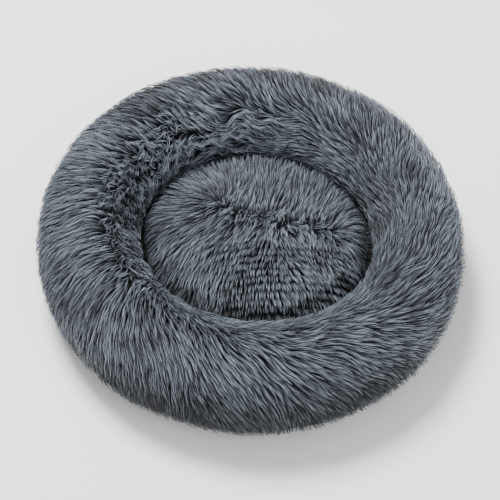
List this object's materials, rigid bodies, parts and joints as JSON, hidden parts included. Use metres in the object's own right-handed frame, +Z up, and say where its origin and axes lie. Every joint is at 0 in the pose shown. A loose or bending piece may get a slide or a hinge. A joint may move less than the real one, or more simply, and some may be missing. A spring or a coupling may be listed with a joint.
{
  "type": "round pet bed",
  "caption": "Round pet bed with a thick stuffed rim around a domed cushion, in one long-pile plush cover that zips open under the base.",
  "frame": {"origin": "on the floor, under the middle of the bed's outline", "axes": "+Z up; -Y is the front, the side nearest the camera in the picture; +X is the picture's right; the zip under the base runs along X and closes towards +X"},
  "size_m": [0.5979, 0.5978, 0.16],
  "materials": {
    "long_pile_plush": "matte",
    "base_cloth": "matte",
    "seam_binding": "matte",
    "label_cloth": "matte",
    "insert_cloth": "matte",
    "fibre_filling": "matte",
    "closing_tape": "matte",
    "zip_tape": "matte",
    "zip_chain": "satin",
    "zip_metal": "satin"
  },
  "bodies": {
    "bed": {"rim_fur_cover": "long_pile_plush", "seat_fur_panel": "long_pile_plush", "base_panel_front": "base_cloth", "base_panel_back": "base_cloth", "base_seam_binding": "seam_binding", "seat_seam_binding": "seam_binding", "base_join_tape_left": "seam_binding", "base_join_tape_right": "seam_binding", "care_label": "label_cloth", "rim_insert_casing": "insert_cloth", "rim_insert_filling": "fibre_filling", "rim_casing_closing_tape": "closing_tape", "seat_insert_casing": "insert_cloth", "seat_insert_filling": "fibre_filling", "seat_casing_closing_tape": "closing_tape", "zip_tape_front": "zip_tape", "zip_tape_back": "zip_tape", "zip_chain_front": "zip_chain", "zip_chain_back": "zip_chain", "zip_top_stop_front": "zip_metal", "zip_top_stop_back": "zip_metal", "zip_bottom_stop": "zip_metal"},
    "slider": {"zip_slider": "zip_metal"},
    "pull_tab": {"zip_pull_tab": "zip_metal"}
  },
  "joints": [
    {"name": "zip_slide", "type": "slide", "parent": "bed", "child": "slider", "axis": [-1, 0, 0], "range_m": [0, 0.2325], "deforming": ["zip_chain_front", "zip_chain_back"]},
    {"name": "pull_tab_hinge", "type": "hinge", "parent": "slider", "child": "pull_tab", "pos_m": [0.12754, 0, 0.00289], "axis": [0, -1, 0], "range_deg": [0, 170]}
  ]
}
